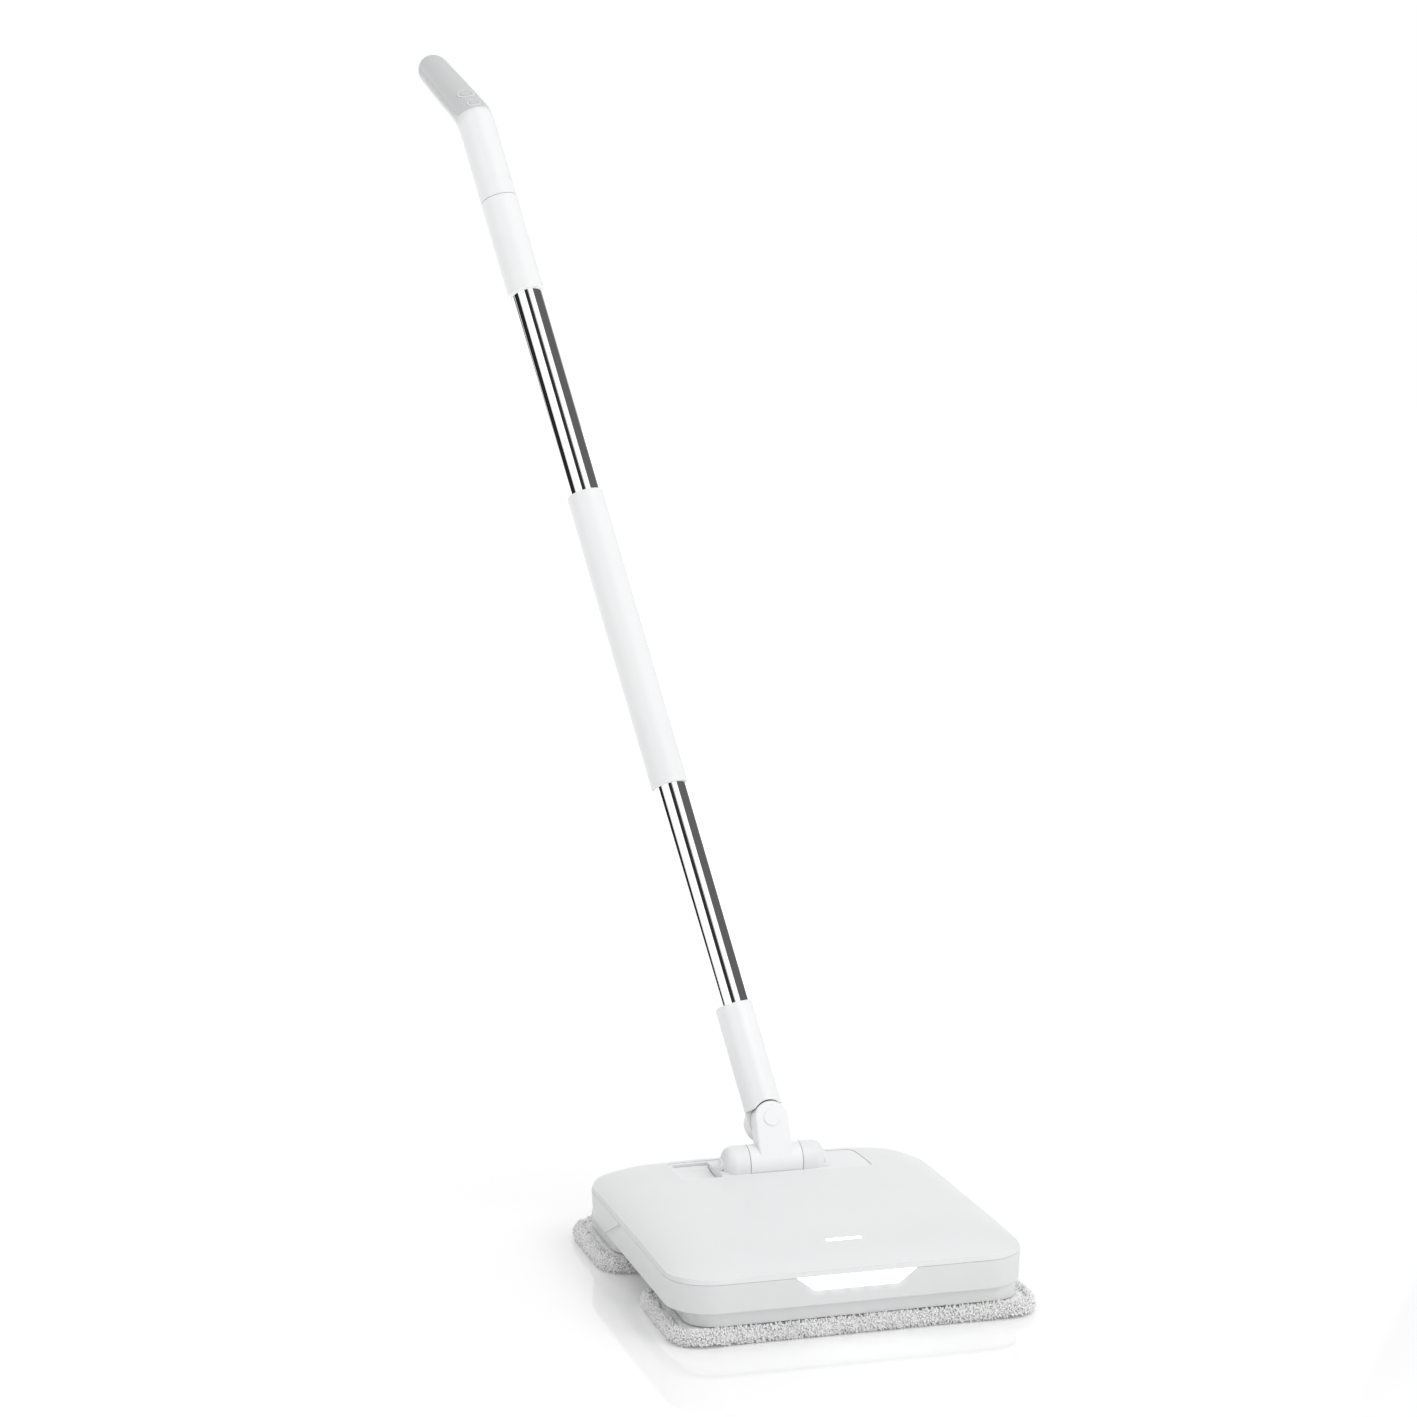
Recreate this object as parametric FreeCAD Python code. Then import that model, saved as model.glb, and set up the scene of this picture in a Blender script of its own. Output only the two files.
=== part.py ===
"""Cordless electric mop: square head on two opposed oscillating pads, two-axis joint, tubular pole, bent handle.

Millimetres, +Z up. The origin is on the floor under the middle of the head. +X runs along the head's front edge,
-Y is the front, where the headlight is, and the pole leans back towards +Y.
"""
import FreeCAD, Part
import math
import os

os.makedirs("parts", exist_ok=True)
V = FreeCAD.Vector

# ---------------------------------------------------------------- head, outside
HEAD_W = 320.0            # side to side
HEAD_D = 333.0            # front to back
FRONT_CORNER_R = 40.0
REAR_CORNER_R = 52.0
SKIRT_Z = 28.5            # underside of the lower shell
SEAM_Z = 53.8             # line where the two shells meet
RIM_Z = 57.6              # top of the band over the seam
CROWN_RISE = 19.0         # from the rim to the flat middle of the cover
CROWN_POWER = 6           # how quickly the cover flattens inwards
CROWN_GRID = 24           # spans of the net that carries the cover's surface
FRONT_CORNER_FILL = 0.70  # lifts the cover over the rounded corners, so that its rim stays level
REAR_CORNER_FILL = 0.38
WALL = 2.4
SEAM_GAP = 0.3
SKIRT_DRAFT = 1.2         # the skirt is this much narrower at its foot
BAND_INSET = 1.2
FLOOR_T = 2.6
FLOOR_TOP = SKIRT_Z + FLOOR_T

# ---------------------------------------------------------------- pads and their carriers
PAD_LENGTH = 336.0
PAD_DEPTH = 142.0
PAD_T = 13.6
PAD_CORNER_R = 30.0
PAD_MID_Y = 3.0           # the line that the two pads mirror about
PAD_GAP = 62.0            # bare strip between the pads
STROKE = 10.0             # full side-to-side travel of each pad
HOOK_T = 1.3
CARRIER_END_INSET = 18.5  # the pad stands out this far past its carrier, at the ends and along the sides
CARRIER_SIDE_INSET = 11.0
CARRIER_TOP = 27.6
CARRIER_FLOOR_T = 3.0
CARRIER_BOTTOM = PAD_T + HOOK_T
GUIDE_R = 4.0
GUIDE_HEAD_R = 7.0
GUIDE_X = 110.0
GUIDE_SPREAD = 36.0       # guides stand this far either side of the carrier's middle in Y

# ---------------------------------------------------------------- drive
ROCKER_ARM = 52.0
ROCKER_Z = 33.6
ROCKER_T = 3.6
ROCKER_PIN_R = 4.0
PIVOT_R = 4.0
FIT = 0.05                # running clearance on a radius
CAM_X = 36.0
CAM_R = 6.0
ROCK_ANGLE = math.degrees(math.asin(STROKE / 2 / ROCKER_ARM))
CAM_THROW = CAM_X * math.sin(math.radians(ROCK_ANGLE))
FORK_HALF_GAP = CAM_R + 2 * CAM_THROW + 0.6

# ---------------------------------------------------------------- two-axis joint
TRUNNION_Y = 80.0
TRUNNION_Z = 81.5
TRUNNION_R = 16.5
TEE_HALF = 24.6
EAR_INNER = 25.2
EAR_OUTER = 47.5
EAR_ROUND = 10.0          # rounding of the ears' outer ends
EAR_BASE_HALF = 54.0      # low step that the ears rise from
SHAFT_R = 4.0
BUSH_R = 7.0
STEM_RISE = 37.0          # trunnion axis to knuckle pin
STEM_HALF_W = 15.8
STEM_GAP = 1.0            # round gap between the stem's head and the neck
KNUCKLE_PIN_R = 5.0
STEM_FRONT = TRUNNION_R
LEAN_BACK = 26.0          # degrees
LEAN_SIDE = 9.4           # degrees, towards -X
WINDOW_X = 90.0
WINDOW_Y0 = 56.5
WINDOW_Y1 = 124.5

# ---------------------------------------------------------------- pole, distances from the knuckle pin
SLEEVE_R = 17.85
TUBE_R = 15.0
TUBE_WALL = 1.2
LINER_WALL = 2.4
TUBE_SEAT = 38.0
NECK_TOP = 111.0
MID_BOTTOM = 326.5
MID_TOP = 623.0
UPPER_BOTTOM = 834.0
HANDLE_SEAM = 934.6
BEND_AT = 1027.0
BEND = 42.0               # degrees, grip leans back from the pole
GRIP_LENGTH = 146.0
GRIP_TIP_HALF_W = 15.6    # the grip narrows to this half width before its round tip
TIP_LENGTH = 19.0
FACE_OFFSET = 14.0        # the grip's front line above its axis
FRONT_BEND_R = 12.0       # the bend is tight at the front and wide at the back
BACK_BEND_R = 57.0
HANDLE_WALL = 2.5
COVER_DEPTH = 11.0        # the grip cover reaches this far down the sides
COVER_GAP = 0.15
POWER_R = 8.8
MODE_R = 7.0
POWER_AT = 35.0           # button centres, along the grip's front line from the bend
MODE_AT = 10.5
BUTTON_GAP = 0.3


# ---------------------------------------------------------------- helpers
def save(name, *shapes):
    """Write one node, which may be a group of separate solids."""
    shape = shapes[0] if len(shapes) == 1 else Part.makeCompound(list(shapes))
    shape.exportStep(f"parts/{name}.step")


def box(x0, x1, y0, y1, z0, z1):
    return Part.makeBox(x1 - x0, y1 - y0, z1 - z0, V(x0, y0, z0))


def rod(radius, z0, z1, x=0.0, y=0.0):
    return Part.makeCylinder(radius, z1 - z0, V(x, y, z0))


def rod_x(radius, x0, x1, y, z):
    return Part.makeCylinder(radius, x1 - x0, V(x0, y, z), V(1, 0, 0))


def rod_y(radius, y0, y1, x=0.0, z=0.0):
    return Part.makeCylinder(radius, y1 - y0, V(x, y0, z), V(0, 1, 0))


def plan_wire(x0, x1, y0, y1, r_front, r_rear, z):
    """Rectangle with rounded corners: r_front at y0, r_rear at y1."""
    corners = [(x1, y0, r_front, -1, 1), (x1, y1, r_rear, -1, -1)]
    corners += [(x0, y1, r_rear, 1, -1), (x0, y0, r_front, 1, 1)]
    ends = []
    for index, (x, y, r, sx, sy) in enumerate(corners):
        along_x = V(x + sx * r, y, z)
        along_y = V(x, y + sy * r, z)
        bulge = r * (1 - math.sqrt(0.5))
        middle = V(x + sx * bulge, y + sy * bulge, z)
        first, last = (along_x, along_y) if index % 2 == 0 else (along_y, along_x)
        ends.append((first, middle, last))
    edges = []
    for index, (first, middle, last) in enumerate(ends):
        edges.append(Part.Arc(first, middle, last).toShape())
        edges.append(Part.makeLine(last, ends[(index + 1) % 4][0]))
    return Part.Wire(edges)


def slab(x0, x1, y0, y1, r, z0, z1):
    """Upright block with equal rounded corners."""
    return Part.Face(plan_wire(x0, x1, y0, y1, r, r, z0)).extrude(V(0, 0, z1 - z0))


def head_wire(inset, z):
    """The head's plan outline, moved in by inset."""
    shrink = min(inset, FRONT_CORNER_R / 2)
    return plan_wire(-HEAD_W / 2 + inset, HEAD_W / 2 - inset, -HEAD_D / 2 + inset, HEAD_D / 2 - inset,
                     FRONT_CORNER_R - shrink / 2, REAR_CORNER_R - shrink / 2, z)


def crown_z(x, y):
    """Height of the cover's outside: flat in the middle, falling ever faster to the rim on all four sides."""
    across = (x / (HEAD_W / 2)) ** CROWN_POWER
    along = (y / (HEAD_D / 2)) ** CROWN_POWER
    corner = FRONT_CORNER_FILL if y < 0 else REAR_CORNER_FILL
    return RIM_Z + CROWN_RISE * (1 - across - along + corner * across * along)


def crown_solid(thickness):
    """Everything under the cover's outside face moved inwards by thickness, down to the seam."""
    base = SEAM_Z + SEAM_GAP / 2 - thickness
    band_wires = [head_wire(thickness, base), head_wire(thickness + BAND_INSET, RIM_Z - thickness)]
    band = Part.makeLoft(band_wires, True, True)
    steps = [2 * index / CROWN_GRID - 1 for index in range(CROWN_GRID + 1)]
    rows = [[V(x, y, crown_z(x, y) - thickness) for y in (step * HEAD_D / 2 for step in steps)]
            for x in (step * HEAD_W / 2 for step in steps)]
    roof = Part.BSplineSurface()
    roof.interpolate(rows)
    over = roof.toShape().extrude(V(0, 0, 4 * CROWN_RISE))
    foot = RIM_Z - thickness - 0.01
    prism = Part.Face(head_wire(thickness + BAND_INSET, foot)).extrude(V(0, 0, 2 * CROWN_RISE))
    return band.fuse(prism.cut(over)).removeSplitter()


def tilt(shape, back, side, origin):
    """Stand a shape built about its own +Z at origin, leaning side degrees to -X, then back degrees to +Y."""
    placed = shape.copy()
    placed.rotate(V(0, 0, 0), V(0, 1, 0), -side)
    placed.rotate(V(0, 0, 0), V(1, 0, 0), -back)
    placed.translate(origin)
    return placed


TRUNNION = V(0, TRUNNION_Y, TRUNNION_Z)
LEAN = math.radians(LEAN_BACK)
KNUCKLE = TRUNNION + V(0, math.sin(LEAN), math.cos(LEAN)) * STEM_RISE


def on_stem(shape):
    return tilt(shape, LEAN_BACK, 0.0, TRUNNION)


def on_knuckle(shape):
    return tilt(shape, LEAN_BACK, 0.0, KNUCKLE)


def on_pole(shape):
    return tilt(shape, LEAN_BACK, LEAN_SIDE, KNUCKLE)


# ---------------------------------------------------------------- head shells
SCREW_PLACES = [(sx * 140.0, PAD_MID_Y) for sx in (-1, 1)]
SCREW_PLACES += [(sx * 136.0, -148.0) for sx in (-1, 1)]
SCREW_PLACES += [(sx * 134.0, 144.0) for sx in (-1, 1)]
SCREW_R = 1.5
BOSS_R = 4.0
STATUS_Y = -129.0
STATUS_HALF = 16.0
STATUS_HALF_W = 1.9
LENS_TOP_HALF = 53.5
LENS_BOTTOM_HALF = 37.3
LENS_BOTTOM_Z = 41.5
LENS_GAP = 0.15
SOCKET_Z = 42.0
PAD_HALF_GAP = PAD_GAP / 2


def carrier_middle(side):
    """Y of a carrier's middle: side is -1 for the front one and 1 for the rear one."""
    return PAD_MID_Y + side * (PAD_HALF_GAP + PAD_DEPTH / 2)


def guide_places(side):
    return [(sx * GUIDE_X, carrier_middle(side) + sy * GUIDE_SPREAD) for sx in (-1, 1) for sy in (-1, 1)]


def stadium(half_length, half_width, x, y, z0, z1):
    """Upright block with half-round ends, long in X."""
    straight = half_length - half_width
    shape = box(x - straight, x + straight, y - half_width, y + half_width, z0, z1)
    for end in (-straight, straight):
        shape = shape.fuse(rod(half_width, z0, z1, x + end, y))
    return shape.removeSplitter()


def lens_prism(spare):
    """Trapezium that cuts the headlight window, made larger all round by spare."""
    top = SEAM_Z - SEAM_GAP / 2 + max(spare, 0.0)
    points = [V(-LENS_TOP_HALF - spare, -HEAD_D, top), V(LENS_TOP_HALF + spare, -HEAD_D, top),
              V(LENS_BOTTOM_HALF + spare, -HEAD_D, LENS_BOTTOM_Z - spare),
              V(-LENS_BOTTOM_HALF - spare, -HEAD_D, LENS_BOTTOM_Z - spare)]
    return Part.Face(Part.makePolygon(points + points[:1])).extrude(V(0, HEAD_D / 2 + WALL * 5, 0))


def skirt_solid(inset, z0):
    wires = [head_wire(inset + SKIRT_DRAFT, z0), head_wire(inset, SEAM_Z - SEAM_GAP / 2)]
    return Part.makeLoft(wires, True, True)


def side_groove(side):
    """Slanted groove across the skirt, from its foot forward and up to the seam."""
    length, width, depth = 70.0, 4.0, 1.3
    groove = box(-depth, depth, -length / 2, length / 2, -width / 2, width / 2)
    groove.rotate(V(0, 0, 0), V(1, 0, 0), -24.0)
    groove.translate(V(side * (HEAD_W / 2 - SKIRT_DRAFT / 2), 43.0, (SKIRT_Z + SEAM_Z) / 2))
    return groove


def make_lower_shell():
    shell = skirt_solid(0.0, SKIRT_Z)
    hollow = Part.makeLoft([head_wire(WALL + SKIRT_DRAFT, FLOOR_TOP), head_wire(WALL, SEAM_Z + 1)], True, True)
    wall = shell.cut(hollow)
    front_zone = box(-HEAD_W, HEAD_W, -HEAD_D, -HEAD_D / 2 + WALL * 3, 0, 2 * SEAM_Z)
    lens = wall.common(lens_prism(-LENS_GAP)).common(front_zone)
    shell = wall.cut(lens_prism(0.0).common(front_zone))
    for side in (-1, 1):
        for x, y in guide_places(side):
            half_length = STROKE / 2 + GUIDE_R + 0.7
            shell = shell.cut(stadium(half_length, GUIDE_R + 0.4, x, y, SKIRT_Z - 1, FLOOR_TOP + 1))
        y = PAD_MID_Y + side * ROCKER_ARM
        half_length = STROKE / 2 + ROCKER_PIN_R + 0.8
        shell = shell.cut(stadium(half_length, ROCKER_PIN_R + 0.8, 0, y, SKIRT_Z - 1, FLOOR_TOP + 1))
        shell = shell.cut(side_groove(side))
    for x, y in SCREW_PLACES:
        shell = shell.cut(rod(SCREW_R + 0.15, SKIRT_Z - 1, FLOOR_TOP + 1, x, y))
        shell = shell.cut(rod(3.2, SKIRT_Z - 1, SKIRT_Z + 1.5, x, y))
    shell = shell.cut(rod_y(4.2, HEAD_D / 2 - 8, HEAD_D / 2 + 2, 0, SOCKET_Z))
    return shell, lens


def make_top_cover():
    outside = crown_solid(0.0)
    inside = crown_solid(WALL)
    cover = outside.cut(inside).cut(box(-HEAD_W, HEAD_W, -HEAD_D, HEAD_D, 0, SEAM_Z + SEAM_GAP / 2))
    window = slab(-WINDOW_X, WINDOW_X, WINDOW_Y0, WINDOW_Y1, 9.0, SEAM_Z, 120.0)
    cover = cover.cut(window)
    cover = cover.cut(stadium(STATUS_HALF + 0.15, STATUS_HALF_W + 0.15, 0, STATUS_Y, SEAM_Z, 100.0))
    for x, y in SCREW_PLACES:
        boss = rod(BOSS_R, FLOOR_TOP + 0.2, 90.0, x, y).common(inside.fuse(rod(BOSS_R, 0, SEAM_Z + 1, x, y)))
        cover = cover.fuse(boss)
    for x, y in SCREW_PLACES:
        cover = cover.cut(rod(SCREW_R + 0.02, 0, FLOOR_TOP + 14.0, x, y))
    status = stadium(STATUS_HALF, STATUS_HALF_W, 0, STATUS_Y, SEAM_Z + 4, 100.0).common(outside)
    return cover, status, outside


def case_screw(x, y):
    shank = rod(SCREW_R, SKIRT_Z + 1.5, FLOOR_TOP + 11.0, x, y)
    return shank.fuse(rod(2.9, SKIRT_Z + 0.1, SKIRT_Z + 1.5, x, y))


lower_shell, front_lens = make_lower_shell()
top_cover, status_light, cover_outside = make_top_cover()
save("lower_shell", lower_shell)
save("top_cover", top_cover)
save("front_lens", front_lens)
save("status_light", status_light)
save("case_screws", *[case_screw(x, y) for x, y in SCREW_PLACES])

# ---------------------------------------------------------------- joint cradle on the cover
CRADLE_GAP = 0.4
CRADLE_FLOOR_Z = 58.5
CRADLE_FLOOR_TOP = 61.5
CHANNEL_HALF = 25.0
BARREL_GAP = 0.5
LEAN_ROOM_Z = 70.5                     # the channel is open down to here, for the neck when it lies back
BASE_TOP_Z = 77.4
POCKET = (-86.5, -52.0, 61.0, 116.0)   # finger pocket: x0, x1, y0, y1
POCKET_WALL = 2.5
POCKET_CORNER_R = 2.5
LATCH_HINGE_Y = 111.0
LATCH_HINGE_Z = 69.5
LATCH_FRONT_Y = 62.2
LATCH_NOTCH = (-78.0, -60.0)           # finger notch in the latch's front edge: x0, x1
LATCH_PIN_R = 1.5
EAR_CAP_R = 5.4
CRADLE_SCREWS = [(72.0, 66.0), (72.0, 115.0), (-20.0, 104.0), (20.0, 104.0)]


def make_ear(side):
    """One bearing ear: a round-ended barrel on a block that stands in the cradle, on a low step."""
    barrel = rod_x(TRUNNION_R, EAR_INNER, EAR_OUTER, TRUNNION_Y, TRUNNION_Z)
    outer_rim = [e for e in barrel.Edges if e.BoundBox.XMin > EAR_OUTER - 0.01]
    barrel = barrel.makeFillet(EAR_ROUND, outer_rim)
    foot = box(EAR_INNER, EAR_OUTER - 4.0, TRUNNION_Y - 14.0, TRUNNION_Y + 14.0, CRADLE_FLOOR_Z, TRUNNION_Z)
    step = slab(EAR_INNER, EAR_BASE_HALF, TRUNNION_Y - 13.0, TRUNNION_Y + 13.0, 6.0,
                CRADLE_FLOOR_Z, BASE_TOP_Z)
    ear = barrel.fuse(foot).fuse(step).removeSplitter()
    return ear if side > 0 else ear.mirror(V(0, 0, 0), V(1, 0, 0))


def ear_bores(side):
    """What is cut out of both ears: the bush's seat, room for the shaft's end, and the cap's seat."""
    bores = rod_x(BUSH_R, EAR_INNER - 1, EAR_INNER + 10, TRUNNION_Y, TRUNNION_Z)
    bores = bores.fuse(rod_x(SHAFT_R + 0.3, EAR_INNER, EAR_INNER + 21, TRUNNION_Y, TRUNNION_Z))
    bores = bores.fuse(rod_x(EAR_CAP_R, EAR_OUTER, EAR_BASE_HALF + 1, TRUNNION_Y, TRUNNION_Z))
    return bores if side > 0 else bores.mirror(V(0, 0, 0), V(1, 0, 0))


def make_cradle():
    """Hollow block flush with the cover, with two ears, the joint's channel and a finger pocket."""
    fit = slab(-WINDOW_X + CRADLE_GAP, WINDOW_X - CRADLE_GAP, WINDOW_Y0 + CRADLE_GAP, WINDOW_Y1 - CRADLE_GAP,
               9.0 - CRADLE_GAP, CRADLE_FLOOR_Z, 120.0)
    lowered = cover_outside.copy()
    lowered.translate(V(0, 0, -0.5))
    block = fit.common(lowered)
    under = slab(-WINDOW_X + 3, WINDOW_X - 3, WINDOW_Y0 + 3, WINDOW_Y1 - 3, 6.0, CRADLE_FLOOR_TOP, 120.0)
    roof = lowered.copy()
    roof.translate(V(0, 0, -WALL))
    x0, x1, y0, y1 = POCKET
    solid_places = slab(x0 - POCKET_WALL, x1 + POCKET_WALL, y0 - POCKET_WALL, y1 + POCKET_WALL, 6.0,
                        CRADLE_FLOOR_Z, 120.0)
    front_wall = box(-EAR_INNER, EAR_INNER, WINDOW_Y0 + 1, TRUNNION_Y, CRADLE_FLOOR_Z, 120.0)
    solid_places = solid_places.fuse(front_wall)
    cradle = block.cut(under.common(roof).cut(solid_places))
    cradle = cradle.cut(rod_x(TRUNNION_R + BARREL_GAP, -CHANNEL_HALF, CHANNEL_HALF, TRUNNION_Y, TRUNNION_Z))
    cradle = cradle.cut(box(-CHANNEL_HALF, CHANNEL_HALF, TRUNNION_Y, WINDOW_Y1 - 3, CRADLE_FLOOR_TOP, 120.0))
    cradle = cradle.cut(box(-CHANNEL_HALF, CHANNEL_HALF, TRUNNION_Y, WINDOW_Y1 + 1, LEAN_ROOM_Z, 120.0))
    for side in (-1, 1):
        cradle = cradle.fuse(make_ear(side)).cut(ear_bores(side))
    cradle = cradle.cut(slab(x0, x1, y0, y1, POCKET_CORNER_R, CRADLE_FLOOR_TOP, 120.0))
    for x, y in CRADLE_SCREWS:
        cradle = cradle.cut(rod(SCREW_R + 0.02, CRADLE_FLOOR_Z - 1, CRADLE_FLOOR_TOP + 1, x, y))
    return cradle.removeSplitter()


def ear_bush(side):
    x0, x1 = sorted((side * (EAR_INNER + 0.2), side * (EAR_INNER + 10)))
    ring = rod_x(BUSH_R, x0, x1, TRUNNION_Y, TRUNNION_Z)
    return ring.cut(rod_x(SHAFT_R + FIT, x0 - 1, x1 + 1, TRUNNION_Y, TRUNNION_Z))


def ear_cap(side):
    x0, x1 = sorted((side * EAR_OUTER, side * (EAR_OUTER + 2.2)))
    return rod_x(EAR_CAP_R, x0, x1, TRUNNION_Y, TRUNNION_Z)


def latch_profile():
    """Side outline of the release lever: hinge at the back, dished finger plate, raised lip at the front."""
    back, front = LATCH_HINGE_Y, LATCH_FRONT_Y
    low = LATCH_HINGE_Z
    outline = [
        Part.Arc(V(0, back, low + 2.4), V(0, 91.0, low - 0.6), V(0, 71.0, low + 2.4)).toShape(),
        Part.Arc(V(0, 71.0, low + 2.4), V(0, 67.0, low + 4.2), V(0, front, low + 5.0)).toShape(),
        Part.makeLine(V(0, front, low + 5.0), V(0, front, low + 2.8)),
        Part.Arc(V(0, front, low + 2.8), V(0, 67.0, low + 2.0), V(0, 71.0, low + 0.2)).toShape(),
        Part.Arc(V(0, 71.0, low + 0.2), V(0, 91.0, low - 2.8), V(0, back, low - 0.4)).toShape(),
        Part.makeLine(V(0, back, low - 0.4), V(0, back, low + 2.4)),
    ]
    return Part.Face(Part.Wire(outline))


def make_latch():
    x0, x1 = POCKET[0] + 0.8, POCKET[1] - 0.8
    plate = latch_profile().extrude(V(x1 - x0, 0, 0))
    plate.translate(V(x0, 0, 0))
    notch_x0, notch_x1 = LATCH_NOTCH
    plate = plate.cut(slab(notch_x0, notch_x1, LATCH_FRONT_Y - 10, LATCH_FRONT_Y + 3.0, 2.5, 60.0, 90.0))
    barrel = rod_x(3.0, x0, x1, LATCH_HINGE_Y, LATCH_HINGE_Z)
    bore = rod_x(LATCH_PIN_R + FIT, x0 - 1, x1 + 1, LATCH_HINGE_Y, LATCH_HINGE_Z)
    return plate.fuse(barrel).cut(bore).removeSplitter()


def cradle_screw(x, y):
    return rod(SCREW_R, CRADLE_FLOOR_Z - 0.5, CRADLE_FLOOR_TOP, x, y).fuse(
        rod(2.8, CRADLE_FLOOR_TOP, CRADLE_FLOOR_TOP + 1.6, x, y))


latch_pin = rod_x(LATCH_PIN_R, POCKET[0] - 2.0, POCKET[1] + 2.0, LATCH_HINGE_Y, LATCH_HINGE_Z)
joint_cradle = make_cradle().cut(latch_pin)
save("joint_cradle", joint_cradle)
save("ear_bushes", *[ear_bush(side) for side in (-1, 1)])
save("ear_caps", *[ear_cap(side) for side in (-1, 1)])
save("cradle_screws", *[cradle_screw(x, y) for x, y in CRADLE_SCREWS])
save("release_latch", make_latch())
save("latch_pin", latch_pin)

# ---------------------------------------------------------------- inside the head
LED_COUNT = 5
LED_PITCH = 17.0
BATTERY = (-68.0, 68.0, 63.4, 124.4)
CELL_R = 9.1
CELL_LENGTH = 65.0
BOARD = (-142.0, -62.0, -118.0, -44.0)
BOARD_Z = 42.0
MOTOR_R = 18.0


def make_battery_case():
    x0, x1, y0, y1 = BATTERY
    wall = 1.6
    tray = box(x0, x1, y0, y1, FLOOR_TOP + wall, 54.0)
    return tray.cut(box(x0 + wall, x1 - wall, y0 + wall, y1 - wall, FLOOR_TOP + 2 * wall, 60.0))


def make_cells():
    x0, _, y0, y1 = BATTERY
    cells = []
    for row in range(3):
        y = (y0 + y1) / 2 + (row - 1) * 2 * (CELL_R + 0.4)
        for start in (x0 + 2.2, x0 + 2.9 + CELL_LENGTH):
            cells.append(rod_x(CELL_R, start, start + CELL_LENGTH, y, FLOOR_TOP + 3.3 + CELL_R))
    return cells


def make_board():
    """Control board with its larger components."""
    x0, x1, y0, y1 = BOARD
    board = box(x0, x1, y0, y1, BOARD_Z, BOARD_Z + 1.6)
    top = BOARD_Z + 1.6
    for x, y, size, height in ((-125, -100, 12, 3), (-100, -75, 16, 2.5), (-80, -100, 9, 6), (-84, -60, 8, 7)):
        board = board.fuse(box(x - size / 2, x + size / 2, y - size / 2, y + size / 2, top, top + height))
    for x in (-128.0, -118.0, -108.0):
        board = board.fuse(rod(3.6, top, top + 9.0, x, -56.0))
    return board.removeSplitter()


def make_board_posts():
    x0, x1, y0, y1 = BOARD
    return [rod(3.0, FLOOR_TOP + 2.5, BOARD_Z, x, y) for x in (x0 + 14, x1 - 5) for y in (y0 + 5, y1 - 5)]


def make_motor():
    body = rod(MOTOR_R, 43.0, 68.0, CAM_X, PAD_MID_Y)
    gearbox = rod(MOTOR_R - 3.0, 41.2, 43.0, CAM_X, PAD_MID_Y)
    terminal = rod(7.0, 68.0, 70.5, CAM_X, PAD_MID_Y)
    return body.fuse(gearbox).fuse(terminal).cut(rod(2.6, 40.0, 60.0, CAM_X, PAD_MID_Y)).removeSplitter()


def make_motor_bracket():
    plate = slab(CAM_X - 23, CAM_X + 23, PAD_MID_Y - 31.5, PAD_MID_Y + 31.5, 6.0, 39.2, 41.2)
    plate = plate.cut(rod(8.0, 38.0, 42.0, CAM_X, PAD_MID_Y))
    for sx in (-1, 1):
        for sy in (-1, 1):
            plate = plate.fuse(rod(3.2, FLOOR_TOP, 40.0, CAM_X + sx * 18.5, PAD_MID_Y + sy * 27.5))
    return plate.removeSplitter()


def make_harness():
    """Loom from the control board to the motor and the battery, lying in the space over the rocker."""
    route = [V(-62, -60, 46), V(-20, -60, 46), V(-8, -40, 50), V(-8, 40, 52), V(-8, 57, 56.5)]
    pieces = [Part.makeCylinder(1.8, (b - a).Length, a, b - a) for a, b in zip(route, route[1:])]
    joints = [Part.makeSphere(1.8, point) for point in route[1:-1]]
    loom = pieces[0]
    for piece in pieces[1:] + joints:
        loom = loom.fuse(piece)
    return loom.removeSplitter()


def make_leds():
    y = -HEAD_D / 2 + 6.0
    return [box(x - 2.5, x + 2.5, y, y + 1.5, 45.5, 50.5) for x in led_places()]


def led_places():
    return [(index - (LED_COUNT - 1) / 2) * LED_PITCH for index in range(LED_COUNT)]


def make_rocker_pivot():
    return rod(PIVOT_R, FLOOR_TOP, ROCKER_Z + ROCKER_T + 0.3, 0, PAD_MID_Y).fuse(
        rod(PIVOT_R + 3, ROCKER_Z + ROCKER_T + 0.3, ROCKER_Z + ROCKER_T + 1.8, 0, PAD_MID_Y))


led_board_y = -HEAD_D / 2 + 7.5
save("battery_case", make_battery_case())
save("battery_cells", *make_cells())
save("main_board", make_board())
save("board_posts", *make_board_posts())
save("drive_motor", make_motor())
save("motor_bracket", make_motor_bracket())
save("head_harness", make_harness())
save("headlight_board", box(-46, 46, led_board_y, led_board_y + 1.6, 43.0, 52.5))
save("headlight_leds", *make_leds())
save("rocker_pivot", make_rocker_pivot())
charge_y = HEAD_D / 2 - WALL - SKIRT_DRAFT
socket_barrel = rod_y(4.0, charge_y - 12, charge_y + 2.2, 0, SOCKET_Z)
save("charge_socket", socket_barrel.cut(rod_y(2.8, charge_y - 8, charge_y + 3, 0, SOCKET_Z)))


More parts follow.
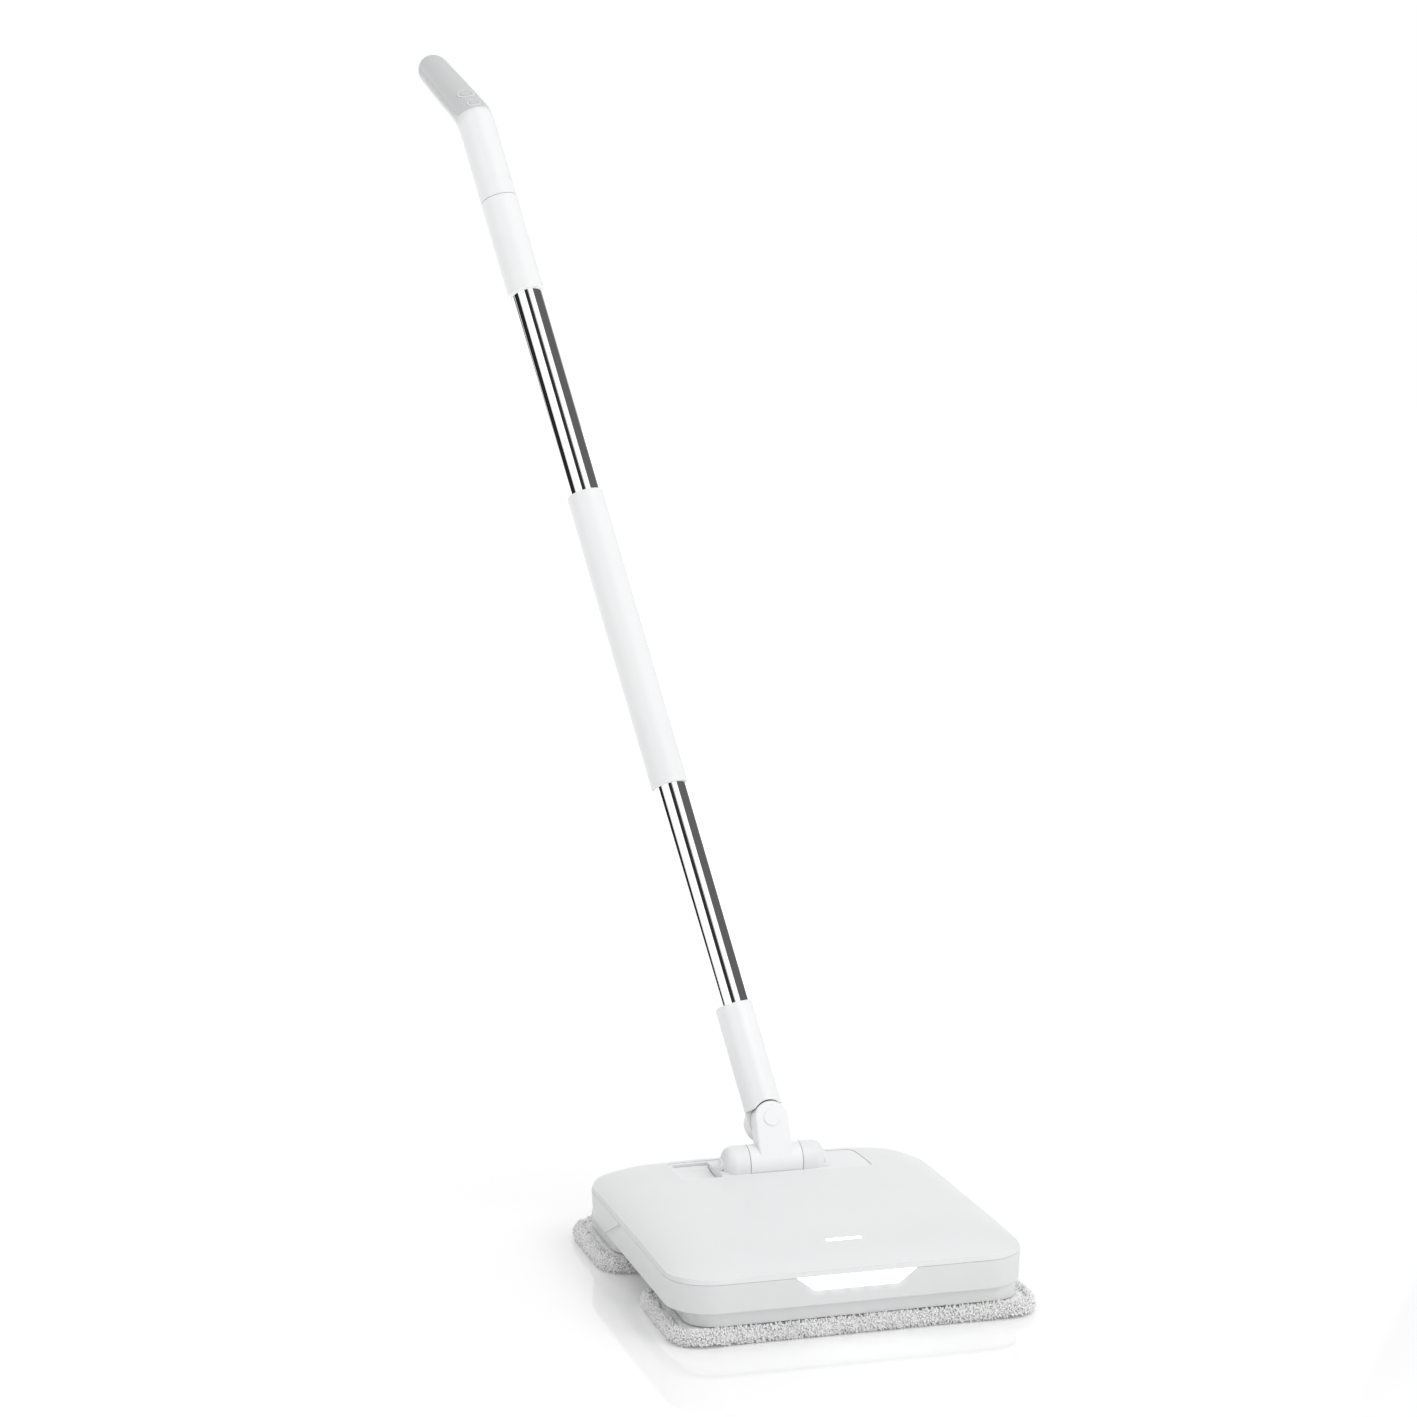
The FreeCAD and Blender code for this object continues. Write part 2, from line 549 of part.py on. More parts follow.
# ---------------------------------------------------------------- rocker and cam
def make_rocker():
    """Three-armed rocker: two arms drive the carriers and a forked arm straddles the cam."""
    z0, z1 = ROCKER_Z, ROCKER_Z + ROCKER_T
    half = 6.5
    beam = box(-half, half, -ROCKER_ARM, ROCKER_ARM, z0, z1)
    for side in (-1, 1):
        beam = beam.fuse(rod(half, z0, z1, 0, side * ROCKER_ARM))
    beam = beam.fuse(rod(11.0, z0, z1))
    outer = FORK_HALF_GAP + 5.0
    fork = box(0, CAM_X + 9.0, -outer, outer, z0, z1)
    fork = fork.cut(box(14.0, CAM_X + 12.0, -FORK_HALF_GAP, FORK_HALF_GAP, z0 - 1, z1 + 1))
    rocker = beam.fuse(fork).removeSplitter()
    return rocker.cut(rod(PIVOT_R + FIT, z0 - 1, z1 + 1))


def make_rocker_pins():
    foot = CARRIER_BOTTOM + CARRIER_FLOOR_T + 1.5
    return [rod(ROCKER_PIN_R, foot, ROCKER_Z, 0, side * ROCKER_ARM) for side in (-1, 1)]


def at_rocker(shape):
    placed = shape.copy()
    placed.rotate(V(0, 0, 0), V(0, 0, 1), ROCK_ANGLE)
    placed.translate(V(0, PAD_MID_Y, 0))
    return placed


def make_cam():
    """Cam disc set off its shaft by the throw, with the shaft that rises into the motor."""
    disc = rod(CAM_R, ROCKER_Z - 0.4, ROCKER_Z + ROCKER_T + 0.4, CAM_X, PAD_MID_Y + CAM_THROW)
    shaft = rod(2.5, ROCKER_Z + ROCKER_T + 0.4, 58.0, CAM_X, PAD_MID_Y)
    return disc.fuse(shaft).removeSplitter()


save("rocker_beam", at_rocker(make_rocker()))
save("rocker_pins", *[at_rocker(pin) for pin in make_rocker_pins()])
save("eccentric_cam", make_cam())


# ---------------------------------------------------------------- pads and carriers
def carrier_span(side):
    """x0, x1, y0, y1 of a pad at rest: the two pads stand at opposite ends of their stroke."""
    shift = -side * STROKE / 2
    middle = carrier_middle(side)
    return shift - PAD_LENGTH / 2, shift + PAD_LENGTH / 2, middle - PAD_DEPTH / 2, middle + PAD_DEPTH / 2


def make_carrier(side):
    x0, x1, y0, y1 = carrier_span(side)
    x0, x1 = x0 + CARRIER_END_INSET, x1 - CARRIER_END_INSET
    y0, y1 = y0 + CARRIER_SIDE_INSET, y1 - CARRIER_SIDE_INSET
    outer = slab(x0, x1, y0, y1, 26.0, CARRIER_BOTTOM, CARRIER_TOP)
    wall = 2.6
    hollow = slab(x0 + wall, x1 - wall, y0 + wall, y1 - wall, 26.0 - wall,
                  CARRIER_BOTTOM + CARRIER_FLOOR_T, CARRIER_TOP + 1)
    carrier = outer.cut(hollow)
    shift = -side * STROKE / 2
    for x, y in guide_places(side):
        carrier = carrier.fuse(rod(8.0, CARRIER_BOTTOM, CARRIER_TOP - 0.6, x + shift, y))
    pin_y = PAD_MID_Y + side * ROCKER_ARM
    boss = box(shift - 13, shift + 13, pin_y - 10, pin_y + 10, CARRIER_BOTTOM, CARRIER_TOP - 0.6)
    carrier = carrier.fuse(boss)
    slot = box(shift - ROCKER_PIN_R - FIT, shift + ROCKER_PIN_R + FIT, pin_y - 6, pin_y + 6,
               CARRIER_BOTTOM + CARRIER_FLOOR_T, CARRIER_TOP + 1)
    return carrier.cut(slot).removeSplitter()


def make_guides(side):
    shift = -side * STROKE / 2
    guides = []
    for x, y in guide_places(side):
        post = rod(GUIDE_R, CARRIER_TOP - 0.6, FLOOR_TOP + 0.4, x + shift, y)
        guides.append(post.fuse(rod(GUIDE_HEAD_R, FLOOR_TOP + 0.4, FLOOR_TOP + 2.4, x + shift, y)))
    return guides


def make_hooks(side):
    x0, x1, y0, y1 = carrier_span(side)
    strips = []
    for y in (y0 + 22.0, y1 - 48.0):
        strips.append(slab(x0 + 34, x1 - 34, y, y + 26.0, 5.0, PAD_T, CARRIER_BOTTOM))
    return strips


def make_pad(side):
    x0, x1, y0, y1 = carrier_span(side)
    pad = slab(x0, x1, y0, y1, PAD_CORNER_R, 0.0, PAD_T)
    rims = [e for e in pad.Edges if e.BoundBox.ZLength < 0.01]
    return pad.makeFillet(4.5, rims)


for label, pad_side in (("front", -1), ("rear", 1)):
    save(f"{label}_carrier", make_carrier(pad_side))
    save(f"{label}_guides", *make_guides(pad_side))
    save(f"{label}_hook_strips", *make_hooks(pad_side))
    save(f"{label}_pad", make_pad(pad_side))


# ---------------------------------------------------------------- tee, knuckle and neck
def make_tee():
    """Cross barrel with a flat stem tangent to its front, ending in the knuckle's near disc."""
    barrel = rod_x(TRUNNION_R, -TEE_HALF, TEE_HALF, 0, 0)
    outline = [
        Part.makeLine(V(-STEM_HALF_W, 0, 0), V(STEM_HALF_W, 0, 0)),
        Part.makeLine(V(STEM_HALF_W, 0, 0), V(STEM_HALF_W, 0, STEM_RISE)),
        Part.Arc(V(STEM_HALF_W, 0, STEM_RISE), V(0, 0, STEM_RISE + STEM_HALF_W),
                 V(-STEM_HALF_W, 0, STEM_RISE)).toShape(),
        Part.makeLine(V(-STEM_HALF_W, 0, STEM_RISE), V(-STEM_HALF_W, 0, 0)),
    ]
    stem = Part.Face(Part.Wire(outline)).extrude(V(0, STEM_FRONT - 0.6, 0))
    stem.translate(V(0, -STEM_FRONT, 0))
    front_rim = [e for e in stem.Edges if e.BoundBox.YMax < -STEM_FRONT + 0.01 and e.BoundBox.ZMax > 1]
    stem = stem.makeFillet(1.8, front_rim)
    tee = barrel.fuse(stem).removeSplitter()
    tee = tee.cut(rod_x(SHAFT_R, -TEE_HALF - 1, TEE_HALF + 1, 0, 0))
    tee = tee.cut(rod_y(KNUCKLE_PIN_R, -STEM_FRONT - 1, 1, 0, STEM_RISE))
    slot = box(-10, 10, -TRUNNION_R - 1, -TRUNNION_R + 1.4, -1.2, 1.2)
    slot.rotate(V(0, 0, 0), V(1, 0, 0), -38.0)
    return tee.cut(slot)


def make_neck():
    """Sleeve that takes the lower tube, with the knuckle's far lobe under it."""
    neck = rod(SLEEVE_R, 0.0, NECK_TOP)
    rims = [e for e in neck.Edges if e.BoundBox.ZMin > NECK_TOP - 0.01]
    neck = neck.makeFillet(1.2, rims)
    front = box(-40, 40, -40, 0.3, -30, 12.0).fuse(rod_y(STEM_HALF_W + STEM_GAP, -40, 0.3))
    neck = neck.cut(front)
    neck = neck.fuse(rod_y(SLEEVE_R, 0.3, SLEEVE_R - 0.85))
    neck = neck.cut(rod_y(KNUCKLE_PIN_R + FIT, -1, 40))
    neck = neck.cut(rod(TUBE_R, NECK_TOP - TUBE_SEAT, NECK_TOP + 1))
    return neck.cut(rod(3.5, 22.0, NECK_TOP)).removeSplitter()


save("trunnion_tee", on_stem(make_tee()))
save("trunnion_shaft", rod_x(SHAFT_R, -EAR_INNER - 20, EAR_INNER + 20, TRUNNION_Y, TRUNNION_Z))
save("knuckle_pin", on_knuckle(rod_y(KNUCKLE_PIN_R, -STEM_FRONT, SLEEVE_R)))
knuckle_cap = rod_y(7.8, -STEM_FRONT - 1.0, -STEM_FRONT)
cap_rim = [e for e in knuckle_cap.Edges if e.BoundBox.YMax < -STEM_FRONT - 0.99]
save("knuckle_cap", on_knuckle(knuckle_cap.makeFillet(0.7, cap_rim)))
save("knuckle_washer", on_knuckle(rod_y(8.0, SLEEVE_R, SLEEVE_R + 1.6)))
save("neck", on_pole(make_neck()))


# ---------------------------------------------------------------- pole
def pipe(outer, inner, z0, z1, soften=0.0):
    shape = rod(outer, z0, z1)
    if soften:
        rims = [e for e in shape.Edges if e.BoundBox.ZLength < 0.01]
        shape = shape.makeFillet(soften, rims)
    return shape.cut(rod(inner, z0 - 1, z1 + 1))


save("lower_tube", on_pole(pipe(TUBE_R, TUBE_R - TUBE_WALL, NECK_TOP - TUBE_SEAT, MID_BOTTOM + TUBE_SEAT)))
save("mid_sleeve", on_pole(pipe(SLEEVE_R, TUBE_R, MID_BOTTOM, MID_TOP, 1.2)))
liner = pipe(TUBE_R, TUBE_R - LINER_WALL, MID_BOTTOM + TUBE_SEAT + 0.3, MID_TOP - TUBE_SEAT - 0.3)
save("sleeve_liner", on_pole(liner))
save("upper_tube", on_pole(pipe(TUBE_R, TUBE_R - TUBE_WALL, MID_TOP - TUBE_SEAT, HANDLE_SEAM - 4)))
save("handle_sleeve", on_pole(pipe(SLEEVE_R, TUBE_R, UPPER_BOTTOM, HANDLE_SEAM - 0.35, 0.5)))
save("pole_harness", on_pole(rod(2.0, 30.0, HANDLE_SEAM + 60)))

# ---------------------------------------------------------------- handle
BEND_RAD = math.radians(BEND)
GRIP_AXIS = V(0, math.sin(BEND_RAD), math.cos(BEND_RAD))
FACE_NORMAL = V(0, -math.cos(BEND_RAD), math.sin(BEND_RAD))
BEND_POINT = V(0, 0, BEND_AT)
STRAIGHT_STEPS = 5
BEND_STEPS = 7
GRIP_STEPS = 7
RING_POINTS = 24
TIP_STAGES = (0.35, 0.6, 0.78, 0.9, 0.97)      # shares of the tip's length at which it has a ring
FLANGE_DEPTH = 6.0
SWITCH_BOARD_DEPTH = 13.0


def bend_corner(y, offset):
    """Where the line up the pole at y meets the line up the grip that runs offset in front of its axis."""
    return BEND_POINT + V(0, y, (offset + y * math.cos(BEND_RAD)) / math.sin(BEND_RAD))


FRONT_CORNER = bend_corner(-SLEEVE_R, FACE_OFFSET)
BACK_CORNER = bend_corner(SLEEVE_R, -SLEEVE_R)


def face_point(along, out=0.0):
    """Point on the grip's front line: along from the bend's corner, out along the face's normal."""
    return FRONT_CORNER + GRIP_AXIS * along + FACE_NORMAL * out


def bend_line(corner, radius):
    """Points in equal turns on the arc that rounds one corner of the bend."""
    centre = corner + V(0, radius, -radius * math.tan(BEND_RAD / 2))
    turns = [BEND_RAD * step / BEND_STEPS for step in range(BEND_STEPS + 1)]
    return [centre + V(0, -math.cos(turn), math.sin(turn)) * radius for turn in turns]


def between(first, last, share):
    return first + (last - first) * share


def handle_stations(z0):
    """Front point, back point and half width of each ring, from z0 on the pole to the grip's tip."""
    front_bend = bend_line(FRONT_CORNER, FRONT_BEND_R)
    back_bend = bend_line(BACK_CORNER, BACK_BEND_R)
    tip_foot = BEND_POINT + GRIP_AXIS * (GRIP_LENGTH - TIP_LENGTH)
    front_tip = tip_foot + FACE_NORMAL * FACE_OFFSET
    back_tip = tip_foot - FACE_NORMAL * SLEEVE_R
    stations = []
    for step in range(STRAIGHT_STEPS):
        share = step / STRAIGHT_STEPS
        front = between(V(0, -SLEEVE_R, z0), front_bend[0], share)
        back = between(V(0, SLEEVE_R, z0), back_bend[0], share)
        stations.append((front, back, SLEEVE_R))
    for front, back in zip(front_bend, back_bend):
        stations.append((front, back, SLEEVE_R))
    for step in range(1, GRIP_STEPS + 1):
        share = step / GRIP_STEPS
        front = between(front_bend[-1], front_tip, share)
        back = between(back_bend[-1], back_tip, share)
        stations.append((front, back, SLEEVE_R + (GRIP_TIP_HALF_W - SLEEVE_R) * share ** 2))
    middle = (front_tip + back_tip) * 0.5
    for stage in TIP_STAGES:
        narrow = math.sqrt(1 - stage ** 2)
        advance = GRIP_AXIS * (TIP_LENGTH * stage)
        front = between(middle, front_tip, narrow) + advance
        back = between(middle, back_tip, narrow) + advance
        stations.append((front, back, GRIP_TIP_HALF_W * narrow))
    return stations


def ring(front, back, half_width):
    """Smooth closed outline, an ellipse between a front and a back point."""
    centre = (front + back) * 0.5
    reach = (front - back) * 0.5
    turns = [2 * math.pi * index / RING_POINTS for index in range(RING_POINTS)]
    points = [centre + reach * math.cos(turn) + V(half_width * math.sin(turn), 0, 0) for turn in turns]
    curve = Part.BSplineCurve()
    curve.interpolate(points, PeriodicFlag=True)
    return Part.Wire([curve.toShape()])


def handle_solid(inset, z0):
    """Straight sleeve, bend and tapering round-tipped grip as one solid, with every ring drawn in by inset."""
    rings = []
    for front, back, half_width in handle_stations(z0):
        draw_in = (back - front) * (inset / (back - front).Length)
        rings.append(ring(front + draw_in, back - draw_in, half_width * (1 - inset / SLEEVE_R)))
    return Part.makeLoft(rings, True, False)


def cover_space(spare):
    """The space of the grip cover: over a plane along the grip and over a line square to the pole."""
    block = Part.makeBox(200, 400, 200, V(-100, -100, 0))
    block.rotate(V(0, 0, 0), V(1, 0, 0), 90.0 - BEND)
    block.translate(face_point(0, -COVER_DEPTH - spare))
    foot = FRONT_CORNER.z - spare
    return block.common(box(-100, 100, -100, 300, foot, foot + 400))


def make_handle():
    outside = handle_solid(0.0, HANDLE_SEAM)
    inside = handle_solid(HANDLE_WALL, HANDLE_SEAM - 1)
    walls = outside.cut(inside)
    shell = walls.cut(cover_space(COVER_GAP))
    cover = walls.common(cover_space(0.0))
    for radius, along in ((POWER_R, POWER_AT), (MODE_R, MODE_AT)):
        start = face_point(along, -2 * FLANGE_DEPTH)
        cover = cover.cut(Part.makeCylinder(radius + BUTTON_GAP, 4 * FLANGE_DEPTH, start, FACE_NORMAL))
    return shell, cover, outside


def raised(shape, height):
    lifted = shape.copy()
    lifted.translate(FACE_NORMAL * height)
    return lifted


def make_button(radius, along, outside):
    """Round key that follows the grip's curve, with a fine ring sunk in it and a flange under the cover."""
    proud, ring_depth, ring_half_w = 0.4, 0.4, 0.35
    stem = Part.makeCylinder(radius, 3 * FLANGE_DEPTH, face_point(along, -FLANGE_DEPTH), FACE_NORMAL)
    stem = stem.common(raised(outside, proud))
    ring_outer = Part.makeCylinder(0.66 * radius + ring_half_w, 40, face_point(along, -20), FACE_NORMAL)
    ring_inner = Part.makeCylinder(0.66 * radius - ring_half_w, 40, face_point(along, -20), FACE_NORMAL)
    stem = stem.cut(ring_outer.cut(ring_inner).cut(raised(outside, proud - ring_depth)))
    flange = Part.makeCylinder(radius + 1.2, 1.0, face_point(along, -FLANGE_DEPTH - 1.0), FACE_NORMAL)
    return stem.fuse(flange).removeSplitter()


def make_handle_board():
    board = Part.makeBox(18, 62, 1.4, V(-9, 0, 0))
    board.rotate(V(0, 0, 0), V(1, 0, 0), 90.0 - BEND)
    board.translate(face_point(0.0, -SWITCH_BOARD_DEPTH))
    return board


def make_switches():
    start = 1.4 - SWITCH_BOARD_DEPTH
    places = [face_point(along, start) for along in (POWER_AT, MODE_AT)]
    return [Part.makeCylinder(3.0, 3.4, place, FACE_NORMAL) for place in places]


handle_shell, grip_cover, handle_outside = make_handle()
save("handle_shell", on_pole(handle_shell))
save("grip_cover", on_pole(grip_cover))
save("power_button", on_pole(make_button(POWER_R, POWER_AT, handle_outside)))
save("mode_button", on_pole(make_button(MODE_R, MODE_AT, handle_outside)))
save("handle_board", on_pole(make_handle_board()))
save("button_switches", *[on_pole(switch) for switch in make_switches()])
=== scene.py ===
import math

import bmesh
import bpy
import numpy as np
from mathutils import Euler, Matrix, Vector, noise


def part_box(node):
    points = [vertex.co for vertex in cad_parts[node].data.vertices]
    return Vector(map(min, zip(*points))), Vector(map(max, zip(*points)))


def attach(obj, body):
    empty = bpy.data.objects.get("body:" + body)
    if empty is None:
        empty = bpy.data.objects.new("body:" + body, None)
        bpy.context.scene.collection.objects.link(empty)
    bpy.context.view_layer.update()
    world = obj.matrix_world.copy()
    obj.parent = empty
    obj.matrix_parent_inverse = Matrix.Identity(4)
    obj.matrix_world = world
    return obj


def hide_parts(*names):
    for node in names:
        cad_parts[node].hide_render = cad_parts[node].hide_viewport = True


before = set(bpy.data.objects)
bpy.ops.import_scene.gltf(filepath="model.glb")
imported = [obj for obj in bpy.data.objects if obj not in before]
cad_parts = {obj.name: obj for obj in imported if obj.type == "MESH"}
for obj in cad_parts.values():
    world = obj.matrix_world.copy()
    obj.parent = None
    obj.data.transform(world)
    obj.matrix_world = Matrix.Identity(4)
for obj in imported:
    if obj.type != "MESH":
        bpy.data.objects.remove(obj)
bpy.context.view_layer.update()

# ---------------------------------------------------------------- sizes, metres
MM = 0.001
PAD_CORNER = 30 * MM
PAD_ROLL = 12.0 * MM           # the rolled rim is this wide, and the groove runs inside it
PAD_GROOVE_DEPTH = 3.6 * MM
PAD_GROOVE_WIDTH = 2.0 * MM
PAD_LIFT = 1.5 * MM            # the backing stays this far off the floor, on its pile
VOXEL = 4 * MM
PUFF_CAP = 2.5 * MM            # no point of a pad moves further than this in the simulation
TUFT_RADIUS = 0.85 * MM
TUFT_LENGTH = (2.4 * MM, 4.2 * MM)
TUFT_ROOT = 0.4 * MM           # a tuft starts this far under the backing's surface
SOLE_TUFT_LENGTH = (1.4 * MM, 2.0 * MM)
RIM_TUFTS = 9000
SOLE_TUFTS = 4200
SIMULATION_STEPS = 20
LEAN_BACK = math.radians(26.0)
LEAN_SIDE = math.radians(9.4)

CAMERA_PLACE = (-0.90853, -2.87313, 1.00426)
CAMERA_PITCH = math.radians(80.73)
CAMERA_HEADING = math.radians(-16.02)
SENSOR_WIDTH = 36.0            # millimetres
FOCAL_LENGTH = 88.92           # millimetres
KEY_LIGHT_PLACE = (1.6, -1.8, 2.6)
KEY_LIGHT_TARGET = (0.0, 0.0, 0.2)
KEY_LIGHT_SIZE = (1.6, 1.6)
KEY_LIGHT_WATTS = 22.0

BEND_AT = 1027 * MM            # along the pole, from the knuckle pin
BEND = math.radians(42.0)      # the grip leans back from the pole
KEY_RADII = {"power_button": 8.8 * MM, "mode_button": 7.0 * MM}
# width of the painted highlight ring at a button's rim
KEY_HIGHLIGHT_RING = 1.3 * MM
KEY_FACE_DEPTH = 2.0 * MM      # vertices this close to the top belong to a button's face


def on_pole(direction):
    """A direction in the upright pole's own frame, leaned to the side and then back."""
    turn = Matrix.Rotation(-LEAN_BACK, 3, "X") @ Matrix.Rotation(-LEAN_SIDE, 3, "Y")
    return turn @ Vector(direction)


POLE_AXIS = on_pole((0, 0, 1))
POLE_SIDE = on_pole((1, 0, 0))
GRIP_AXIS = on_pole((0, math.sin(BEND), math.cos(BEND)))
SHAFT = sum(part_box("trunnion_shaft"), Vector()) / 2
STEM_RISE = 37 * MM            # from the cross shaft to the knuckle pin
KNUCKLE = SHAFT + Vector((0, math.sin(LEAN_BACK), math.cos(LEAN_BACK))) * STEM_RISE
BEND_POINT = KNUCKLE + POLE_AXIS * BEND_AT

LED_LO, LED_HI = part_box("headlight_leds")
LED_COUNT = 5
LED_HALF = 2.5 * MM
LED_GLOW = 7.0 * MM            # reach of one emitter's glow
LENS_FOOT_Z = 41.5 * MM
LENS_TOP_Z = 53.7 * MM
LENS_FRONT_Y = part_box("front_lens")[0].y
LENS_MID_Z = 0.5 * (LENS_FOOT_Z + LENS_TOP_Z)
LENS_RIB_PITCH = 2.4 * MM
GLOW_STRETCH = (1.0, 0.3, 1.0)  # depth counts less than height and width in the glow's distance

# ---------------------------------------------------------------- colours
WHITE = (0.80, 0.805, 0.81, 1.0)
# painted shade: grey that stands in for the shade on the white grip's faces turned up and back
GRIP_PAINTED_SHADE = (0.62, 0.625, 0.63, 1.0)
LAMP_WHITE = (0.95, 0.97, 1.0, 1.0)


# ---------------------------------------------------------------- node helpers
def new_material(name):
    """A node material, its tree and its shader."""
    material = bpy.data.materials.new(name)
    material.use_nodes = True
    tree = material.node_tree
    return material, tree, tree.nodes["Principled BSDF"]


def feed(tree, socket, value):
    """Links value to the socket if it is an output, and sets it otherwise."""
    if isinstance(value, bpy.types.NodeSocket):
        tree.links.new(value, socket)
    else:
        socket.default_value = value


def math_node(tree, operation, first, second=0.0):
    node = tree.nodes.new("ShaderNodeMath")
    node.operation = operation
    for socket, value in zip(node.inputs, (first, second)):
        feed(tree, socket, value)
    return node.outputs[0]


def vector_dot(tree, vector, axis):
    node = tree.nodes.new("ShaderNodeVectorMath")
    node.operation = "DOT_PRODUCT"
    feed(tree, node.inputs[0], vector)
    node.inputs[1].default_value = axis
    return node.outputs["Value"]


def distance_to(tree, vector, point, stretch=(1, 1, 1)):
    """Distance from a fixed point, with each axis weighted by stretch."""
    offset = tree.nodes.new("ShaderNodeVectorMath")
    offset.operation = "SUBTRACT"
    feed(tree, offset.inputs[0], vector)
    offset.inputs[1].default_value = point
    scaled = tree.nodes.new("ShaderNodeVectorMath")
    scaled.operation = "MULTIPLY"
    tree.links.new(offset.outputs[0], scaled.inputs[0])
    scaled.inputs[1].default_value = stretch
    length = tree.nodes.new("ShaderNodeVectorMath")
    length.operation = "LENGTH"
    tree.links.new(scaled.outputs[0], length.inputs[0])
    return length.outputs["Value"]


def object_place(tree):
    return tree.nodes.new("ShaderNodeTexCoord").outputs["Object"]


def noise_value(tree, place, scale, detail=2.0, roughness=0.5):
    node = tree.nodes.new("ShaderNodeTexNoise")
    tree.links.new(place, node.inputs["Vector"])
    node.inputs["Scale"].default_value = scale
    node.inputs["Detail"].default_value = detail
    node.inputs["Roughness"].default_value = roughness
    return node.outputs["Fac"]


def remap(tree, value, low, high, to_low, to_high, smooth=False):
    node = tree.nodes.new("ShaderNodeMapRange")
    node.interpolation_type = "SMOOTHSTEP" if smooth else "LINEAR"
    for socket, number in zip(node.inputs, (value, low, high, to_low, to_high)):
        feed(tree, socket, number)
    return node.outputs["Result"]


def mix_colours(tree, factor, first, second):
    node = tree.nodes.new("ShaderNodeMix")
    node.data_type = "RGBA"
    feed(tree, node.inputs["Factor"], factor)
    for socket, value in ((node.inputs["A"], first), (node.inputs["B"], second)):
        feed(tree, socket, value)
    return node.outputs["Result"]


def shade(colour, factor):
    return tuple(min(1.0, channel * factor) for channel in colour[:3]) + (1.0,)


def bump(tree, shader, height, distance):
    node = tree.nodes.new("ShaderNodeBump")
    node.inputs["Distance"].default_value = distance
    node.inputs["Strength"].default_value = 1.0
    tree.links.new(height, node.inputs["Height"])
    tree.links.new(node.outputs["Normal"], shader.inputs["Normal"])


# ---------------------------------------------------------------- materials
def plastic(name, colour, roughness, grain=500.0, grain_depth=0.00002, coat=0.0, mottle=0.012):
    """Moulded plastic: faint mottling, uneven polish and the fine grain of the mould."""
    material, tree, shader = new_material(name)
    place = object_place(tree)
    cloud = noise_value(tree, place, 22.0, 4.0)
    tint = mix_colours(tree, cloud, shade(colour, 1 - mottle), shade(colour, 1 + mottle))
    tree.links.new(tint, shader.inputs["Base Color"])
    polish = noise_value(tree, place, 70.0, 5.0, 0.6)
    uneven = remap(tree, polish, 0.3, 0.7, roughness - 0.04, roughness + 0.05)
    tree.links.new(uneven, shader.inputs["Roughness"])
    bump(tree, shader, noise_value(tree, place, grain, 2.0), grain_depth)
    shader.inputs["Coat Weight"].default_value = coat
    shader.inputs["Coat Roughness"].default_value = 0.08
    return material, tree, shader, tint


def simple_plastic(name, colour, roughness, **more):
    return plastic(name, colour, roughness, **more)[0]


def led_distance(tree, place, x):
    """Distance of a surface point from the emitter at x."""
    return distance_to(tree, place, (x, LENS_FRONT_Y, LENS_MID_Z), GLOW_STRETCH)


def skirt_plastic():
    """White casing plastic, a little darker than the cover as painted shade, with a painted glow of the
    headlight where the emitters stand close behind it.
    """
    # painted shade: the cover's white, darkened for the skirt's sides
    material, tree, shader, _ = plastic("skirt_painted_shade_and_glow", shade(WHITE, 0.95), 0.34, coat=0.1)
    place = object_place(tree)
    glow = None
    for x in led_places():
        near = led_distance(tree, place, x)
        spot = remap(tree, near, 0.6 * LED_GLOW, 2.0 * LED_GLOW, 1.0, 0.0, smooth=True)
        glow = spot if glow is None else math_node(tree, "MAXIMUM", glow, spot)
    # painted light: the casing glows near the emitters, though it is no lamp
    shader.inputs["Emission Color"].default_value = LAMP_WHITE
    tree.links.new(math_node(tree, "MULTIPLY", glow, 0.14), shader.inputs["Emission Strength"])
    return material


def lens_plastic():
    """Clear prismatic lens, lit from behind: fine upright ribs, and a hot spot over each emitter."""
    material, tree, shader, _ = plastic("headlight_lens", (0.95, 0.96, 0.98, 1.0), 0.15, mottle=0.004)
    place = object_place(tree)
    split = tree.nodes.new("ShaderNodeSeparateXYZ")
    tree.links.new(place, split.inputs[0])
    phase = math_node(tree, "MULTIPLY", split.outputs["X"], 2 * math.pi / LENS_RIB_PITCH)
    ribs = math_node(tree, "SINE", phase)
    glow = remap(tree, ribs, -1.0, 1.0, 1.3, 1.7)
    for x in led_places():
        near = led_distance(tree, place, x)
        spot = remap(tree, near, 0.0, LED_GLOW, 1.6, 0.0, smooth=True)
        glow = math_node(tree, "ADD", glow, spot)
    shader.inputs["Emission Color"].default_value = LAMP_WHITE
    tree.links.new(glow, shader.inputs["Emission Strength"])
    return material


def lamp(name, strength):
    """Glowing diffuser, its glow varying a little at random over its face."""
    material, tree, shader, _ = plastic(name, (1.0, 1.0, 1.0, 1.0), 0.4, mottle=0.0)
    cloud = noise_value(tree, object_place(tree), 90.0, 1.0)
    shader.inputs["Emission Color"].default_value = LAMP_WHITE
    glow = remap(tree, cloud, 0.3, 0.7, 0.9 * strength, 1.1 * strength)
    tree.links.new(glow, shader.inputs["Emission Strength"])
    return material


